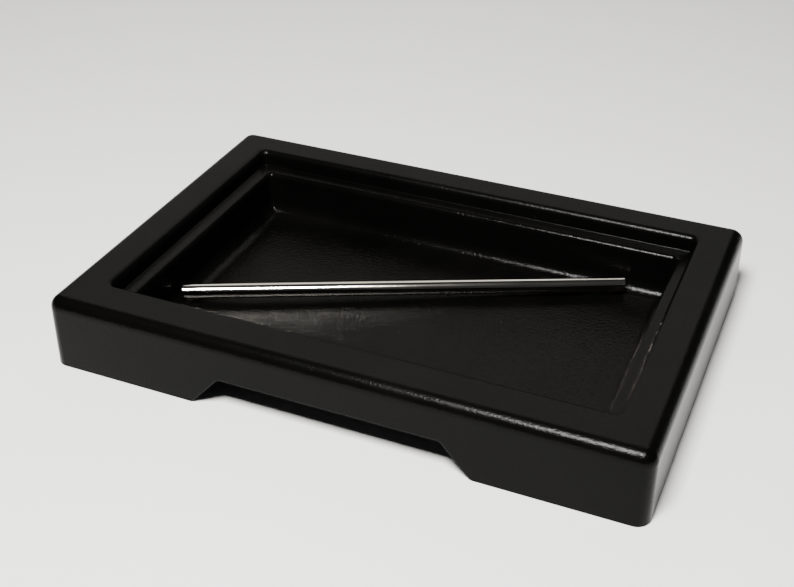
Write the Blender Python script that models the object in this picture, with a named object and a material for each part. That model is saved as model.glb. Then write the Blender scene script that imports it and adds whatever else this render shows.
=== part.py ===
"""Incense burner: a one-piece rectangular tray and the loose steel rod that lies in its basin.

Metres, +Z up. The origin is on the table plane under the tray's centre, +X runs along the long
side and +Y from the front to the back. The tray stands on the lower edge of its own skirt.
"""

import math

import bmesh
import bpy

# Tray, outside
LENGTH = 0.300
WIDTH = 0.203
HEIGHT = 0.0385
WALL = 0.003
CORNER_RADIUS = 0.007
TOP_EDGE_RADIUS = 0.0063
FOOT_EDGE_RADIUS = 0.0006
SKIRT_DRAFT = 0.0004

# Recess inside the rim, which is wider in front than behind
RECESS_LENGTH = 0.2552
RECESS_WIDTH = 0.1566
RECESS_SHIFT = 0.0014
RECESS_CORNER_RADIUS = 0.003
RECESS_DEPTH = 0.0088
RECESS_DRAFT = 0.0004
RECESS_FILLET = 0.0006
RIM_EDGE_RADIUS = 0.0037

# Ledge and basin: every inset is measured inwards from the recess's wall
LEDGE_WIDTH = 0.0042
LEDGE_SLOPE = math.radians(12.0)
LEDGE_EDGE_RADIUS = WALL
BASIN_CORNER_RADIUS = 0.0025
BASIN_DEPTH = 0.0343
BASIN_FILLET = 0.0075
FLOOR_INSET = 0.0160
FLOOR_CORNER_RADIUS = 0.0015

# Feet: a trapezoid is cut from the middle of the front and of the back skirt
NOTCH_BASE = 0.1417
NOTCH_TOP = 0.1112
NOTCH_HEIGHT = 0.0171
NOTCH_CORNER_RADIUS = 0.0035
NOTCH_REACH = 0.008

# Rod: both ends ride up on the rounding round the floor, the left one higher by the lift
ROD_DIAMETER = 0.008
ROD_LENGTH = 0.2345
ROD_CHAMFER = 0.0004
ROD_CENTRE = (-0.0103, 0.0163)
ROD_ANGLE = math.radians(25.3)
ROD_RISE = 0.0012
ROD_LIFT = 0.0010
REST_GAP = 0.0003

# Worked out from the sizes above
OUTSIDE = (LENGTH / 2, WIDTH / 2, 0.0)
INSIDE = (RECESS_LENGTH / 2, RECESS_WIDTH / 2, RECESS_SHIFT)
LEDGE_HEIGHT = HEIGHT - RECESS_DEPTH
FLOOR_HEIGHT = HEIGHT - BASIN_DEPTH
EDGE_CENTRE = (
    RECESS_DRAFT + RECESS_FILLET + LEDGE_WIDTH - LEDGE_EDGE_RADIUS * math.sin(LEDGE_SLOPE),
    LEDGE_HEIGHT - LEDGE_WIDTH * math.tan(LEDGE_SLOPE) - LEDGE_EDGE_RADIUS * math.cos(LEDGE_SLOPE),
)
FLOOR_CENTRE = (FLOOR_INSET, FLOOR_HEIGHT + BASIN_FILLET)

# Fineness
CORNER_STEPS = 10
ROUNDING_STEPS = 7
FILLET_STEPS = 6
SMALL_STEPS = 3
NOTCH_STEPS = 5
ROD_SIDES = 64
SMOOTH_ANGLE = math.radians(40.0)


def clear_scene():
    """Start from an empty scene."""
    for item in list(bpy.data.objects):
        bpy.data.objects.remove(item, do_unlink=True)


def make_material(name, colour, roughness, metallic):
    """One Principled material of a single finish."""
    material = bpy.data.materials.new(name)
    material.use_nodes = True
    shader = material.node_tree.nodes["Principled BSDF"]
    shader.inputs["Base Color"].default_value = (*colour, 1.0)
    shader.inputs["Roughness"].default_value = roughness
    shader.inputs["Metallic"].default_value = metallic
    return material


def arc(centre, radius, start, end, steps):
    """Points of a profile arc as (inset, height), angles in degrees from the inset axis."""
    points = []
    for step in range(steps + 1):
        angle = math.radians(start + (end - start) * step / steps)
        points.append((centre[0] + radius * math.cos(angle), centre[1] + radius * math.sin(angle)))
    return points


def concentric(outline, points, inset, radius):
    """Rings whose corner radius shrinks from radius by what each point is further in than inset."""
    return [(outline, x, z, radius - (x - inset)) for x, z in points]


def same_corner(outline, points, radius):
    """Rings that all have the same corner radius."""
    return [(outline, x, z, radius) for x, z in points]


def basin_slope():
    """The basin wall's angle from the horizontal in degrees: the wall touches both roundings."""
    run = FLOOR_CENTRE[0] - EDGE_CENTRE[0]
    drop = EDGE_CENTRE[1] - FLOOR_CENTRE[1]
    touch = math.asin((LEDGE_EDGE_RADIUS + BASIN_FILLET) / math.hypot(run, drop))
    return math.degrees(math.atan2(drop, run) + touch)


def outer_profile():
    """Skirt's outer face, from the foot edge up over the rounded top edge to the rim."""
    foot = arc((FOOT_EDGE_RADIUS, FOOT_EDGE_RADIUS), FOOT_EDGE_RADIUS, 270, 180, SMALL_STEPS)
    top_centre = (SKIRT_DRAFT + TOP_EDGE_RADIUS, HEIGHT - TOP_EDGE_RADIUS)
    top = arc(top_centre, TOP_EDGE_RADIUS, 180, 90, ROUNDING_STEPS)
    return concentric(OUTSIDE, foot + top, 0.0, CORNER_RADIUS)


def recess_profile():
    """Rim's inner edge, the short upper wall and the small fillet at its foot."""
    edge = arc((-RIM_EDGE_RADIUS, HEIGHT - RIM_EDGE_RADIUS), RIM_EDGE_RADIUS, 90, 0, ROUNDING_STEPS)
    foot_height = LEDGE_HEIGHT + RECESS_FILLET * math.cos(LEDGE_SLOPE)
    foot_centre = (RECESS_DRAFT + RECESS_FILLET, foot_height)
    end = 270 - math.degrees(LEDGE_SLOPE)
    foot = arc(foot_centre, RECESS_FILLET, 180, end, SMALL_STEPS)
    return concentric(INSIDE, edge + foot, 0.0, RECESS_CORNER_RADIUS)


def basin_profile():
    """Ledge's inner edge, the sloping basin wall and the fillet round the floor."""
    slope = basin_slope()
    start = 90 - math.degrees(LEDGE_SLOPE)
    edge = arc(EDGE_CENTRE, LEDGE_EDGE_RADIUS, start, 90 - slope, FILLET_STEPS)
    floor = arc(FLOOR_CENTRE, BASIN_FILLET, 270 - slope, 270, FILLET_STEPS)
    upper = concentric(INSIDE, edge, edge[-1][0], BASIN_CORNER_RADIUS)
    return upper + same_corner(INSIDE, floor, FLOOR_CORNER_RADIUS)


def basin_underside():
    """Underside of the floor, the basin wall and the ledge, one wall thickness below them."""
    floor = arc(FLOOR_CENTRE, BASIN_FILLET + WALL, 270, 270 - basin_slope(), FILLET_STEPS)
    wall_side = RECESS_DRAFT - WALL
    ledge_rise = (EDGE_CENTRE[0] - wall_side) * math.tan(LEDGE_SLOPE)
    lower = same_corner(INSIDE, floor, FLOOR_CORNER_RADIUS + WALL)
    upper = same_corner(INSIDE, [EDGE_CENTRE], BASIN_CORNER_RADIUS + WALL)
    ledge = [(wall_side, EDGE_CENTRE[1] + ledge_rise), (-WALL, HEIGHT - WALL)]
    return lower + upper + concentric(INSIDE, ledge, -WALL, RECESS_CORNER_RADIUS + WALL)


def skirt_inside():
    """Rounding under the rim's outer edge and the inner face of the skirt down to its foot."""
    radius = TOP_EDGE_RADIUS - WALL
    rim = arc((SKIRT_DRAFT + TOP_EDGE_RADIUS, HEIGHT - TOP_EDGE_RADIUS), radius, 90, 180, SMALL_STEPS)
    foot = arc((WALL - FOOT_EDGE_RADIUS, FOOT_EDGE_RADIUS), FOOT_EDGE_RADIUS, 0, -90, SMALL_STEPS)
    return concentric(OUTSIDE, rim + foot, 0.0, CORNER_RADIUS)


def ring_points(outline, inset, height, radius):
    """A rounded rectangle at one height, anticlockwise from the front right corner."""
    half_x = outline[0] - inset - radius
    half_y = outline[1] - inset - radius
    points = []
    for quarter, (side_x, side_y) in enumerate(((1, -1), (1, 1), (-1, 1), (-1, -1))):
        for step in range(CORNER_STEPS + 1):
            angle = math.radians(90 * (quarter - 1) + 90 * step / CORNER_STEPS)
            x = side_x * half_x + radius * math.cos(angle)
            y = outline[2] + side_y * half_y + radius * math.sin(angle)
            points.append((x, y, height))
    return points


def add_ring(mesh, point):
    """Vertices of one ring of the tray."""
    return [mesh.verts.new(place) for place in ring_points(*point)]


def join_rings(mesh, first, second):
    """A band of four-sided faces between two rings."""
    count = len(first)
    for index in range(count):
        after = (index + 1) % count
        mesh.faces.new((first[index], first[after], second[after], second[index]))


def build_shell():
    """The tray before its notches are cut: one closed skin round the whole wall."""
    top_side = outer_profile() + recess_profile() + basin_profile()
    under_side = basin_underside() + skirt_inside()
    mesh = bmesh.new()
    rings = [add_ring(mesh, point) for point in top_side + under_side]
    floor_ring = len(top_side) - 1
    for index, ring in enumerate(rings):
        if index != floor_ring:
            join_rings(mesh, ring, rings[(index + 1) % len(rings)])
    mesh.faces.new(rings[floor_ring])
    mesh.faces.new(rings[floor_ring + 1])
    bmesh.ops.recalc_face_normals(mesh, faces=mesh.faces)
    return mesh


def turn_arc(centre, radius, start, end):
    """Points of an arc in a skirt's plane as (x, height), angles in radians from the x axis."""
    points = []
    for step in range(NOTCH_STEPS + 1):
        angle = start + (end - start) * step / NOTCH_STEPS
        points.append((centre[0] + radius * math.cos(angle), centre[1] + radius * math.sin(angle)))
    return points


def notch_outline():
    """Outline of the notch from its right foot round to its left, with all four corners rounded."""
    slope = math.atan2(NOTCH_HEIGHT, (NOTCH_BASE - NOTCH_TOP) / 2)
    trim = NOTCH_CORNER_RADIUS * math.tan(slope / 2)
    side = math.pi / 2 - slope
    top_centre = (NOTCH_TOP / 2 - trim, NOTCH_HEIGHT - NOTCH_CORNER_RADIUS)
    foot_centre = (NOTCH_BASE / 2 + trim, NOTCH_CORNER_RADIUS)
    foot = turn_arc(foot_centre, NOTCH_CORNER_RADIUS, -math.pi / 2, side - math.pi)[1:]
    below = [(foot[0][0], -NOTCH_HEIGHT / 2)]
    right = below + foot + turn_arc(top_centre, NOTCH_CORNER_RADIUS, side, math.pi / 2)
    return right + [(-x, z) for x, z in reversed(right)]


def build_notch_cutter(side):
    """A short bar of the notch's outline through the front (-1) or the back (1) skirt."""
    mesh = bmesh.new()
    outside = side * (WIDTH / 2 + WALL)
    inside = side * (WIDTH / 2 - NOTCH_REACH)
    face = mesh.faces.new([mesh.verts.new((x, outside, z)) for x, z in notch_outline()])
    grown = bmesh.ops.extrude_face_region(mesh, geom=[face])
    moved = [item for item in grown["geom"] if isinstance(item, bmesh.types.BMVert)]
    bmesh.ops.translate(mesh, verts=moved, vec=(0.0, inside - outside, 0.0))
    bmesh.ops.recalc_face_normals(mesh, faces=mesh.faces)
    return mesh


def make_object(name, mesh, material=None):
    """Turn a bmesh into a named object."""
    data = bpy.data.meshes.new(name)
    mesh.to_mesh(data)
    mesh.free()
    item = bpy.data.objects.new(name, data)
    bpy.context.collection.objects.link(item)
    if material:
        data.materials.append(material)
        data.shade_smooth()
        data.set_sharp_from_angle(angle=SMOOTH_ANGLE)
    return item


def cut_notches(tray):
    """Cut the front and back notches, which leave the skirt's corners as feet."""
    for name, side in (("front", -1), ("back", 1)):
        cutter = make_object(f"{name}_notch_cutter", build_notch_cutter(side))
        cutter.hide_render = True
        cutter.display_type = "WIRE"
        cut = tray.modifiers.new(f"{name}_notch", "BOOLEAN")
        cut.operation = "DIFFERENCE"
        cut.solver = "EXACT"
        cut.object = cutter


def make_tray():
    """One-piece tray: skirt, rim, stepped recess and basin."""
    black = make_material("black_coating", (0.016, 0.015, 0.014), 0.42, 0.0)
    tray = make_object("tray", build_shell(), black)
    cut_notches(tray)
    return tray


def build_rod():
    """Round bar along Z with chamfered ends."""
    mesh = bmesh.new()
    bmesh.ops.create_cone(
        mesh,
        cap_ends=True,
        segments=ROD_SIDES,
        radius1=ROD_DIAMETER / 2,
        radius2=ROD_DIAMETER / 2,
        depth=ROD_LENGTH,
    )
    ends = [edge for edge in mesh.edges if abs(edge.verts[0].co.z - edge.verts[1].co.z) < ROD_CHAMFER]
    bmesh.ops.bevel(mesh, geom=ends, offset=ROD_CHAMFER, segments=2, profile=0.5, affect="EDGES")
    return mesh


def make_rod():
    """Loose steel rod lying across the basin's floor."""
    steel = make_material("stainless_steel", (0.62, 0.60, 0.57), 0.22, 1.0)
    rod = make_object("rod", build_rod(), steel)
    height = FLOOR_HEIGHT + REST_GAP + ROD_DIAMETER / 2 + ROD_RISE + ROD_LIFT / 2
    rod.location = (*ROD_CENTRE, height)
    rod.rotation_euler = (0.0, math.pi / 2 + math.asin(ROD_LIFT / ROD_LENGTH), ROD_ANGLE)
    return rod


clear_scene()
make_tray()
make_rod()
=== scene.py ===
"""Looks of the incense burner: a black coated tray and the loose steel rod in its basin.

Metres, +Z up. The origin is on the table, under the centre of the tray. The tray and the rod are
fine meshes of the same sizes as their plain solids, each with a procedural material, and each rides
on the solid it stands for.
"""

import math

import bmesh
import bpy
from mathutils import Matrix, Vector


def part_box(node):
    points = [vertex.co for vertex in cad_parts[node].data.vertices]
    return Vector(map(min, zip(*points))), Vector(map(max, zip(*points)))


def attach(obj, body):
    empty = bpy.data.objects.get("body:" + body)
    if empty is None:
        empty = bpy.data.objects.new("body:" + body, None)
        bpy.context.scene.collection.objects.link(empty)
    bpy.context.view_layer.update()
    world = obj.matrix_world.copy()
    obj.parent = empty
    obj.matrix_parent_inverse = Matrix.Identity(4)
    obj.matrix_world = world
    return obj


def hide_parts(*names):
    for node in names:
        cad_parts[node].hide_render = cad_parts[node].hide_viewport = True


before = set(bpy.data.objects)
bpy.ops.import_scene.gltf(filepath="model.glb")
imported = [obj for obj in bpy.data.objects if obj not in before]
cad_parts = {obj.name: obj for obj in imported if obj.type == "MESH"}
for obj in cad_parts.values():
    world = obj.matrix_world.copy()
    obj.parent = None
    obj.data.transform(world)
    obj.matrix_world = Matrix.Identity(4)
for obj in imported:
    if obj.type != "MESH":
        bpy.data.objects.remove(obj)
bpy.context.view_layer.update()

# Tray, overall: the size of its plain solid
TRAY_LOW, TRAY_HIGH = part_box("tray")
LENGTH = TRAY_HIGH.x - TRAY_LOW.x
WIDTH = TRAY_HIGH.y - TRAY_LOW.y
HEIGHT = TRAY_HIGH.z

# Tray, outside
WALL = 0.003
CORNER_RADIUS = 0.007
TOP_EDGE_RADIUS = 0.0063
FOOT_EDGE_RADIUS = 0.0004
SKIRT_DRAFT = 0.0004

# Recess inside the rim, which is wider in front than behind
RECESS_LENGTH = 0.2552
RECESS_WIDTH = 0.1566
RECESS_SHIFT = 0.0014
RECESS_CORNER_RADIUS = 0.003
RECESS_DEPTH = 0.0088
RECESS_DRAFT = 0.0004
RECESS_FILLET = 0.0006
RIM_EDGE_RADIUS = 0.0037

# Ledge and basin: an inset is measured inwards from the recess's wall
LEDGE_WIDTH = 0.0042
LEDGE_SLOPE = math.radians(12.0)
LEDGE_EDGE_RADIUS = WALL
BASIN_CORNER_RADIUS = 0.0025
BASIN_DEPTH = 0.0343
BASIN_FILLET = 0.0075
FLOOR_INSET = 0.0160
FLOOR_CORNER_RADIUS = 0.0015

# Notches, which divide the front and the back of the skirt into feet
NOTCH_BASE = 0.1417
NOTCH_TOP = 0.1112
NOTCH_HEIGHT = 0.0171
NOTCH_CORNER_RADIUS = 0.0035

# Rod: its left end lies higher than its right end, and both end faces are slightly dished
ROD_DIAMETER = 0.008
ROD_LENGTH = 0.2345
ROD_CHAMFER = 0.0004
ROD_ANGLE = math.radians(25.3)
ROD_LIFT = 0.0010
ROD_DISH_DEPTH = 0.00006
ROD_DISH_RADIUS = 0.0014

# Worked out from the sizes above
OUTSIDE = (LENGTH / 2, WIDTH / 2, 0.0)
INSIDE = (RECESS_LENGTH / 2, RECESS_WIDTH / 2, RECESS_SHIFT)
LEDGE_HEIGHT = HEIGHT - RECESS_DEPTH
FLOOR_HEIGHT = HEIGHT - BASIN_DEPTH
EDGE_CENTRE = (
    RECESS_DRAFT + RECESS_FILLET + LEDGE_WIDTH - LEDGE_EDGE_RADIUS * math.sin(LEDGE_SLOPE),
    LEDGE_HEIGHT - LEDGE_WIDTH * math.tan(LEDGE_SLOPE) - LEDGE_EDGE_RADIUS * math.cos(LEDGE_SLOPE),
)
FLOOR_CENTRE = (FLOOR_INSET, FLOOR_HEIGHT + BASIN_FILLET)
TOP_EDGE_CENTRE = (SKIRT_DRAFT + TOP_EDGE_RADIUS, HEIGHT - TOP_EDGE_RADIUS)
ROD_TILT = math.asin(ROD_LIFT / ROD_LENGTH)

# Fineness: steps of the arcs, gap between an arc and its support loops, angle of a sharp edge
CORNER_STEPS = 20
ROUNDING_STEPS = 12
FILLET_STEPS = 10
SMALL_STEPS = 5
NOTCH_STEPS = 8
ROD_SIDES = 96
SUPPORT = 0.0004
ROD_SUPPORT = 0.0003
SHARP_ANGLE = math.radians(45)

# Columns of vertices down the straight sides, which reach this far from the middle
LONG_SIDE_REACH = 0.095
SHORT_SIDE_REACH = 0.055
SHORT_SIDE_COLUMNS = 5


# ---------------------------------------------------------------- tray shape

def arc(centre, radius, start, end, steps):
    """Points of a profile arc as (inset, height), angles in degrees from the inset axis."""
    points = []
    for step in range(steps + 1):
        angle = math.radians(start + (end - start) * step / steps)
        points.append((centre[0] + radius * math.cos(angle), centre[1] + radius * math.sin(angle)))
    return points


def beyond(point, angle):
    """A point a short way off along a straight face that runs at an angle in degrees."""
    turn = math.radians(angle)
    return (point[0] + SUPPORT * math.cos(turn), point[1] + SUPPORT * math.sin(turn))


def concentric(outline, points, inset, radius):
    """Rings whose corner radius shrinks from radius by what each point is further in than inset."""
    return [(outline, x, z, max(radius - (x - inset), SUPPORT)) for x, z in points]


def same_corner(outline, points, radius):
    """Rings that all have the same corner radius."""
    return [(outline, x, z, radius) for x, z in points]


def basin_slope():
    """The basin wall's angle from the horizontal in degrees: the wall touches both roundings."""
    run = FLOOR_CENTRE[0] - EDGE_CENTRE[0]
    drop = EDGE_CENTRE[1] - FLOOR_CENTRE[1]
    touch = math.asin((LEDGE_EDGE_RADIUS + BASIN_FILLET) / math.hypot(run, drop))
    return math.degrees(math.atan2(drop, run) + touch)


def draft_at(height):
    """How far the skirt's faces lean in at a height."""
    return SKIRT_DRAFT * height / HEIGHT


def foot_rings():
    """Foot edge as (inset, distance above the foot line), from the outer face to the inner one."""
    radius = FOOT_EDGE_RADIUS
    outer = arc((radius, radius), radius, 270, 180, SMALL_STEPS) + [(0.0, radius + SUPPORT)]
    inner = [(WALL - x, z) for x, z in outer]
    return outer, inner[::-1]


def top_profile():
    """Outer face's upper end, the rounded top edge, the rim and the recess down to the ledge."""
    edge = arc(TOP_EDGE_CENTRE, TOP_EDGE_RADIUS, 180, 90, ROUNDING_STEPS)
    outer = [beyond(edge[0], -90)] + edge + [beyond(edge[-1], 0)]
    rim_centre = (-RIM_EDGE_RADIUS, HEIGHT - RIM_EDGE_RADIUS)
    rim = arc(rim_centre, RIM_EDGE_RADIUS, 90, 0, ROUNDING_STEPS)
    inner = [beyond(rim[0], 180)] + rim + [beyond(rim[-1], -90)]
    lean = math.degrees(LEDGE_SLOPE)
    foot_height = LEDGE_HEIGHT + RECESS_FILLET * math.cos(LEDGE_SLOPE)
    foot_centre = (RECESS_DRAFT + RECESS_FILLET, foot_height)
    foot = arc(foot_centre, RECESS_FILLET, 180, 270 - lean, SMALL_STEPS)
    ledge = [beyond(foot[0], 90)] + foot + [beyond(foot[-1], -lean)]
    rings = concentric(OUTSIDE, outer, 0.0, CORNER_RADIUS)
    return rings + concentric(INSIDE, inner + ledge, 0.0, RECESS_CORNER_RADIUS)


def basin_profile():
    """Ledge's inner edge, the steep basin wall and the rounding round the floor."""
    slope = basin_slope()
    lean = math.degrees(LEDGE_SLOPE)
    edge = arc(EDGE_CENTRE, LEDGE_EDGE_RADIUS, 90 - lean, 90 - slope, FILLET_STEPS)
    edge = [beyond(edge[0], 180 - lean)] + edge + [beyond(edge[-1], -slope)]
    floor = arc(FLOOR_CENTRE, BASIN_FILLET, 270 - slope, 270, FILLET_STEPS)
    floor = [beyond(floor[0], 180 - slope)] + floor + [beyond(floor[-1], 0)]
    upper = concentric(INSIDE, edge, edge[-1][0], BASIN_CORNER_RADIUS)
    return upper + same_corner(INSIDE, floor, FLOOR_CORNER_RADIUS)


def underside_profile():
    """Underside of floor, basin wall, ledge and rim, one wall thickness below the top side."""
    floor = arc(FLOOR_CENTRE, BASIN_FILLET + WALL, 270, 270 - basin_slope(), FILLET_STEPS)
    wall_side = RECESS_DRAFT - WALL
    ledge_rise = (EDGE_CENTRE[0] - wall_side) * math.tan(LEDGE_SLOPE)
    ledge = [(wall_side, EDGE_CENTRE[1] + ledge_rise), (-WALL, HEIGHT - WALL)]
    rim = arc(TOP_EDGE_CENTRE, TOP_EDGE_RADIUS - WALL, 90, 180, SMALL_STEPS)
    rings = same_corner(INSIDE, [beyond(floor[0], 0)] + floor, FLOOR_CORNER_RADIUS + WALL)
    rings += same_corner(INSIDE, [EDGE_CENTRE], BASIN_CORNER_RADIUS + WALL)
    rings += concentric(INSIDE, ledge, -WALL, RECESS_CORNER_RADIUS + WALL)
    return rings + concentric(OUTSIDE, rim, 0.0, CORNER_RADIUS)


def notch_path():
    """Right half of a notch from foot to crown, as (x, z, normal x, normal z).

    The normals point down, out of the skirt.
    """
    slope = math.atan2(NOTCH_HEIGHT, (NOTCH_BASE - NOTCH_TOP) / 2)
    trim = NOTCH_CORNER_RADIUS * math.tan(slope / 2)
    foot = Vector((NOTCH_BASE / 2 + trim, NOTCH_CORNER_RADIUS))
    crown = Vector((NOTCH_TOP / 2 - trim, NOTCH_HEIGHT - NOTCH_CORNER_RADIUS))
    path = []
    for centre, radius, start, end in (
        (foot, NOTCH_CORNER_RADIUS, 0.0, slope),
        (crown, -NOTCH_CORNER_RADIUS, slope, 0.0),
    ):
        for step in range(NOTCH_STEPS + 1):
            turn = start + (end - start) * step / NOTCH_STEPS
            normal = Vector((-math.sin(turn), -math.cos(turn)))
            path.append((*(centre + normal * radius), *normal))
    return path


def long_side_columns():
    """Columns of a notched side in order of falling x, as (x, foot z, normal x, normal z)."""
    plain = [(LONG_SIDE_REACH, 0.0, 0.0, -1.0)]
    crown = [(NOTCH_TOP / 4, NOTCH_HEIGHT, 0.0, -1.0)]
    middle = [(0.0, NOTCH_HEIGHT, 0.0, -1.0)]
    right = plain + notch_path() + crown
    left = [(-x, z, -nx, nz) for x, z, nx, nz in reversed(right)]
    return right + middle + left


def short_side_columns():
    """Columns of a plain side in order of falling y."""
    gap = 2 * SHORT_SIDE_REACH / (SHORT_SIDE_COLUMNS - 1)
    return [SHORT_SIDE_REACH - gap * step for step in range(SHORT_SIDE_COLUMNS)]


def columns():
    """Every column of the tray in turn, anticlockwise from the front right corner."""
    plain = short_side_columns()
    notched = long_side_columns()
    quarters = (
        ((1, -1), [("right", y) for y in reversed(plain)]),
        ((1, 1), [("back", place) for place in notched]),
        ((-1, 1), [("left", y) for y in plain]),
        ((-1, -1), [("front", place) for place in reversed(notched)]),
    )
    made = []
    for quarter, (corner, side) in enumerate(quarters):
        for step in range(CORNER_STEPS + 1):
            angle = math.radians(90 * (quarter - 1) + 90 * step / CORNER_STEPS)
            made.append(("corner", corner, angle))
        made += side
    return made


def column_point(column, outline, inset, height, radius, above_foot=None):
    """Where a ring crosses a column. A foot ring's height counts from the notched foot line."""
    kind = column[0]
    shift = 0.0
    if above_foot is not None:
        height = above_foot
        if kind in ("front", "back"):
            x, z, normal_x, normal_z = column[1]
            shift = -normal_x * above_foot
            height = z - normal_z * above_foot
        inset += draft_at(height)
    half_x = outline[0] - inset
    half_y = outline[1] - inset
    if kind == "corner":
        corner, angle = column[1:]
        x = corner[0] * (half_x - radius) + radius * math.cos(angle)
        y = outline[2] + corner[1] * (half_y - radius) + radius * math.sin(angle)
        return (x, y, height)
    if kind in ("right", "left"):
        return (half_x if kind == "right" else -half_x, column[1], height)
    y = outline[2] + (half_y if kind == "back" else -half_y)
    return (column[1][0] + shift, y, height)


def foot_edge(profile, all_columns):
    """Rings along the skirt's foot edge, which follows the notches."""
    return [
        [column_point(c, OUTSIDE, inset, 0.0, CORNER_RADIUS - inset, above) for c in all_columns]
        for inset, above in profile
    ]


def tray_rings():
    """Points of every ring, and how many of them belong to the top side."""
    all_columns = columns()
    outer_foot, inner_foot = foot_rings()
    top = top_profile() + basin_profile()
    rings = foot_edge(outer_foot, all_columns)
    for outline, inset, height, radius in top + underside_profile():
        rings.append([column_point(c, outline, inset, height, radius) for c in all_columns])
    return rings + foot_edge(inner_foot, all_columns), len(outer_foot) + len(top)


def build_tray():
    """Fine mesh of the one-piece tray. The floor closes the top side, its underside the other."""
    points, top_count = tray_rings()
    mesh = bmesh.new()
    rings = [[mesh.verts.new(place) for place in ring] for ring in points]
    for index, ring in enumerate(rings):
        after = rings[(index + 1) % len(rings)]
        if index == top_count - 1:
            continue
        for step in range(len(ring)):
            following = (step + 1) % len(ring)
            mesh.faces.new((ring[step], ring[following], after[following], after[step]))
    mesh.faces.new(rings[top_count - 1])
    mesh.faces.new(rings[top_count])
    bmesh.ops.recalc_face_normals(mesh, faces=mesh.faces)
    return mesh


# ----------------------------------------------------------------- rod shape

def rod_profile():
    """Half section of the rod as (radius, z), from the dish in one end to the dish in the other."""
    half = ROD_LENGTH / 2
    radius = ROD_DIAMETER / 2
    profile = [(ROD_DISH_RADIUS, half - ROD_DISH_DEPTH), (radius - ROD_CHAMFER - ROD_SUPPORT, half)]
    for step in range(SMALL_STEPS + 1):
        turn = math.radians(90 * step / SMALL_STEPS)
        inset = ROD_CHAMFER * (1 - math.sin(turn))
        profile.append((radius - inset, half - ROD_CHAMFER * (1 - math.cos(turn))))
    profile.append((radius, half - ROD_CHAMFER - ROD_SUPPORT))
    return profile + [(r, -z) for r, z in reversed(profile)]


def build_rod():
    """Fine mesh of the rod along local Z. Its ends have a small rounded chamfer."""
    mesh = bmesh.new()
    turns = [2 * math.pi * side / ROD_SIDES for side in range(ROD_SIDES)]
    rings = [
        [mesh.verts.new((r * math.cos(turn), r * math.sin(turn), z)) for turn in turns]
        for r, z in rod_profile()
    ]
    for ring, after in zip(rings, rings[1:]):
        for side in range(ROD_SIDES):
            following = (side + 1) % ROD_SIDES
            mesh.faces.new((ring[side], after[side], after[following], ring[following]))
    mesh.faces.new(rings[0])
    mesh.faces.new(rings[-1])
    bmesh.ops.recalc_face_normals(mesh, faces=mesh.faces)
    return mesh


def make_object(name, mesh, material):
    """Turn a bmesh into a smooth-shaded named object."""
    data = bpy.data.meshes.new(name)
    mesh.to_mesh(data)
    mesh.free()
    data.materials.append(material)
    data.shade_smooth()
    data.set_sharp_from_angle(angle=SHARP_ANGLE)
    item = bpy.data.objects.new(name, data)
    bpy.context.scene.collection.objects.link(item)
    return item


# ----------------------------------------------------------------- materials

COATING_DARK = (0.0010, 0.00095, 0.0009, 1.0)
COATING_PALE = (0.0016, 0.00152, 0.00144, 1.0)
STEEL_CLEAN = (0.66, 0.635, 0.59, 1.0)
STEEL_SMUDGED = (0.58, 0.545, 0.49, 1.0)
FLOOR_GREY = (0.8, 0.8, 0.8, 1.0)


class Nodes:
    """Short way to add nodes to a material and wire them up."""

    def __init__(self, name):
        self.material = bpy.data.materials.new(name)
        self.material.use_nodes = True
        self.tree = self.material.node_tree
        self.shader = self.tree.nodes["Principled BSDF"]

    def add(self, kind, **inputs):
        """A new node; an input's name has _ for each space."""
        node = self.tree.nodes.new(kind)
        for key, value in inputs.items():
            self.put(node, key.replace("_", " "), value)
        return node

    def put(self, node, socket, value):
        """Link a value to a node's socket if it is a socket itself, or else set it there."""
        target = node.inputs[socket]
        if isinstance(value, bpy.types.NodeSocket):
            self.tree.links.new(value, target)
        else:
            target.default_value = value

    def where(self):
        """The place on the object, in metres."""
        return self.add("ShaderNodeTexCoord").outputs["Object"]

    def stretch(self, where, scale):
        """The place multiplied by a scale for each axis."""
        return self.add("ShaderNodeMapping", Vector=where, Scale=scale).outputs["Vector"]

    def noise(self, where, scale, detail, roughness):
        """Cloudy noise around 0.5, with scale bumps to the metre."""
        node = self.add("ShaderNodeTexNoise", Vector=where, Scale=scale, Detail=detail)
        self.put(node, "Roughness", roughness)
        return node.outputs["Fac"]

    def remap(self, value, source, result):
        """Carry the range source over to the range result, and hold it at both ends."""
        node = self.add("ShaderNodeMapRange", Value=value)
        self.put(node, "From Min", source[0])
        self.put(node, "From Max", source[1])
        self.put(node, "To Min", result[0])
        self.put(node, "To Max", result[1])
        return node.outputs["Result"]

    def math(self, operation, first, second=0.0):
        """One step of arithmetic. ABSOLUTE has no use for the second value."""
        node = self.add("ShaderNodeMath")
        node.operation = operation
        self.put(node, 0, first)
        self.put(node, 1, second)
        return node.outputs["Value"]

    def blend(self, factor, first, second):
        """A colour between two others. The mix node's colour sockets are its inputs 6 and 7."""
        node = self.add("ShaderNodeMix")
        node.data_type = "RGBA"
        for socket, value in ((0, factor), (6, first), (7, second)):
            self.put(node, socket, value)
        return node.outputs[2]

    def bump(self, height, distance, strength, normal=None):
        """A relief this many metres high, on top of another one."""
        node = self.add("ShaderNodeBump", Height=height, Strength=strength, Distance=distance)
        if normal:
            self.put(node, "Normal", normal)
        return node.outputs["Normal"]


def outside_recess(n, where):
    """How far a point is outside the recess's wall in plan; less than 0 inside it."""
    split = n.add("ShaderNodeSeparateXYZ", Vector=where)
    across = n.math("SUBTRACT", n.math("ABSOLUTE", split.outputs["X"]), INSIDE[0])
    centred = n.math("SUBTRACT", split.outputs["Y"], INSIDE[2])
    along = n.math("SUBTRACT", n.math("ABSOLUTE", centred), INSIDE[1])
    return n.math("MAXIMUM", across, along)


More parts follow.
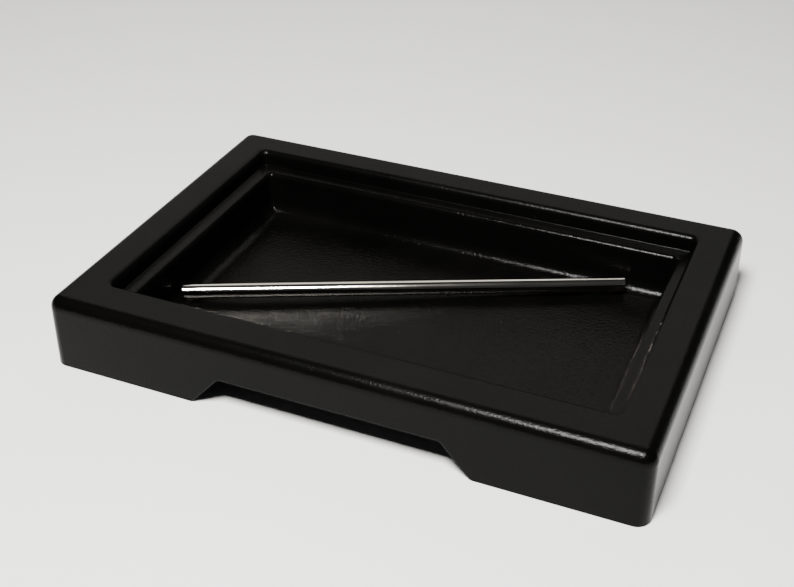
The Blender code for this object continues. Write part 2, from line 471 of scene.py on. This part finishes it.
def coarse_floor(n, where, beside):
    """Strength of the pebbling: full on the basin floor, fading a little way up its rounding."""
    height = n.add("ShaderNodeSeparateXYZ", Vector=where).outputs["Z"]
    fade = (FLOOR_HEIGHT + 0.0002, FLOOR_HEIGHT + 0.0026)
    on_floor = n.remap(height, fade, (1.0, 0.25))
    within = n.remap(beside, (-0.002, 0.003), (1.0, 0.5))
    return n.math("MINIMUM", on_floor, within)


def black_coating():
    """Black baked coating with an orange-peel surface: satin outside, glossier in the recess."""
    n = Nodes("black_coating")
    where = n.where()
    cloud = n.noise(where, scale=22.0, detail=3.0, roughness=0.55)
    grain = n.noise(where, scale=2200.0, detail=2.0, roughness=0.6)
    peel = n.noise(where, scale=1200.0, detail=1.0, roughness=0.5)
    pebble = n.noise(where, scale=700.0, detail=1.0, roughness=0.5)
    sway = n.noise(where, scale=14.0, detail=1.0, roughness=0.4)
    beside = outside_recess(n, where)

    tint = n.remap(cloud, (0.35, 0.65), (0.0, 1.0))
    n.put(n.shader, "Base Color", n.blend(tint, COATING_DARK, COATING_PALE))

    gloss = n.remap(beside, (-0.006, 0.0), (0.14, 0.215))
    cloudy = n.remap(cloud, (0.3, 0.7), (0.0, 0.03))
    grainy = n.remap(grain, (0.3, 0.7), (-0.02, 0.02))
    n.put(n.shader, "Roughness", n.math("ADD", gloss, n.math("ADD", cloudy, grainy)))
    n.put(n.shader, "Specular IOR Level", 0.06)

    swayed = n.bump(sway, distance=0.0006, strength=0.5)
    peeled = n.bump(peel, distance=0.00010, strength=1.0, normal=swayed)
    coarse = coarse_floor(n, where, beside)
    pebbled = n.bump(pebble, distance=0.00028, strength=coarse, normal=peeled)
    n.put(n.shader, "Normal", n.bump(grain, distance=0.00004, strength=0.5, normal=pebbled))
    return n.material


def drawn_steel():
    """Bright drawn stainless steel: long fine draw lines, faint chatter and a little smudging."""
    n = Nodes("drawn_steel")
    where = n.where()
    lines = n.noise(n.stretch(where, (2600.0, 2600.0, 22.0)), scale=1.0, detail=3.0, roughness=0.6)
    smudge = n.noise(n.stretch(where, (1.0, 1.0, 0.35)), scale=60.0, detail=3.0, roughness=0.6)
    chatter = n.noise(n.stretch(where, (120.0, 120.0, 340.0)), scale=1.0, detail=1.0, roughness=0.4)

    tint = n.remap(smudge, (0.35, 0.7), (0.0, 1.0))
    n.put(n.shader, "Base Color", n.blend(tint, STEEL_CLEAN, STEEL_SMUDGED))
    n.put(n.shader, "Metallic", 1.0)

    smudged = n.remap(smudge, (0.3, 0.75), (0.07, 0.12))
    drawn = n.remap(lines, (0.3, 0.7), (-0.02, 0.03))
    n.put(n.shader, "Roughness", n.math("ADD", smudged, drawn))

    lined = n.bump(lines, distance=0.00002, strength=0.35)
    n.put(n.shader, "Normal", n.bump(chatter, distance=0.00006, strength=0.25, normal=lined))
    return n.material


def floor_paint():
    """Plain pale matt floor."""
    n = Nodes("floor_paint")
    n.put(n.shader, "Base Color", FLOOR_GREY)
    n.put(n.shader, "Roughness", 0.9)
    n.put(n.shader, "Specular IOR Level", 0.1)
    return n.material


# -------------------------------------------------------------------- pieces

def place_tray():
    """The coated tray, which stands for the plain one."""
    tray = make_object("tray_coated", build_tray(), black_coating())
    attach(tray, "tray")
    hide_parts("tray")


def place_rod():
    """The steel rod, centred on the plain one, turned in plan and tilted by its lift."""
    low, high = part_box("rod")
    rod = make_object("rod_steel", build_rod(), drawn_steel())
    centre = (low + high) / 2
    turn = Matrix.Rotation(ROD_ANGLE, 4, "Z") @ Matrix.Rotation(math.pi / 2 + ROD_TILT, 4, "Y")
    rod.matrix_world = Matrix.Translation(centre) @ turn
    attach(rod, "rod")
    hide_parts("rod")


# --------------------------------------------------------------------- stage

STAGE_RADIUS = 12.0
ORIGIN = (0.0, 0.0, 0.0)
BOX_WHITE = (1.0, 0.985, 0.955)
PANEL_WHITE = (1.0, 0.99, 0.91)
ROOM_GREY = (0.9, 0.92, 0.95, 1.0)
ROOM_STRENGTH = 0.04

VIEW_AZIMUTH = math.radians(23.246)
VIEW_ELEVATION = math.radians(33.256)
VIEW_DISTANCE = 0.6340
VIEW_AIM = (-0.0067, -0.00246, 0.01875)
VIEW_LENS = 55.96
VIEW_SENSOR = 36.0


def place_floor():
    """A wide round floor on the plane that the tray stands on."""
    mesh = bmesh.new()
    bmesh.ops.create_circle(mesh, cap_ends=True, segments=96, radius=STAGE_RADIUS)
    floor = make_object("floor", mesh, floor_paint())


def aim(item, target):
    """Turn a light or camera's -Z axis towards a point."""
    direction = Vector(target) - item.location
    item.rotation_mode = "QUATERNION"
    item.rotation_quaternion = direction.to_track_quat("-Z", "Y")


def area_light(name, place, size, power, colour):
    """A rectangular panel that faces the tray, with its size in metres and its power in watts."""
    data = bpy.data.lights.new(name, "AREA")
    data.shape = "RECTANGLE"
    data.size, data.size_y = size
    data.energy = power
    data.color = colour
    light = bpy.data.objects.new(name, data)
    bpy.context.scene.collection.objects.link(light)
    light.location = place
    aim(light, ORIGIN)


def light_studio():
    """A soft box high above the front, a large pale panel behind and a brighter one above that."""
    area_light("key", (0.03, -0.49, 0.88), size=(0.26, 0.26), power=36.0, colour=BOX_WHITE)
    area_light("back_wall", (-0.52, 1.05, 0.70), size=(1.5, 1.0), power=3.4, colour=PANEL_WHITE)
    area_light("back_upper", (-0.28, 0.80, 1.0), size=(1.3, 0.55), power=3.0, colour=PANEL_WHITE)
    world = bpy.data.worlds.new("room")
    bpy.context.scene.world = world
    world.use_nodes = True
    room = world.node_tree.nodes["Background"]
    room.inputs["Color"].default_value = ROOM_GREY
    room.inputs["Strength"].default_value = ROOM_STRENGTH


def place_camera():
    """The camera, to the right of the front and above it."""
    data = bpy.data.cameras.new("camera")
    data.lens = VIEW_LENS
    data.sensor_width = VIEW_SENSOR
    data.clip_start = 0.01
    data.clip_end = 60.0
    camera = bpy.data.objects.new("camera", data)
    bpy.context.scene.collection.objects.link(camera)
    flat = math.cos(VIEW_ELEVATION)
    right = math.sin(VIEW_AZIMUTH) * flat
    front = math.cos(VIEW_AZIMUTH) * flat
    away = Vector((right, -front, math.sin(VIEW_ELEVATION)))
    camera.location = Vector(VIEW_AIM) + away * VIEW_DISTANCE
    aim(camera, VIEW_AIM)
    bpy.context.scene.camera = camera


place_tray()
place_rod()
place_floor()
light_studio()
place_camera()
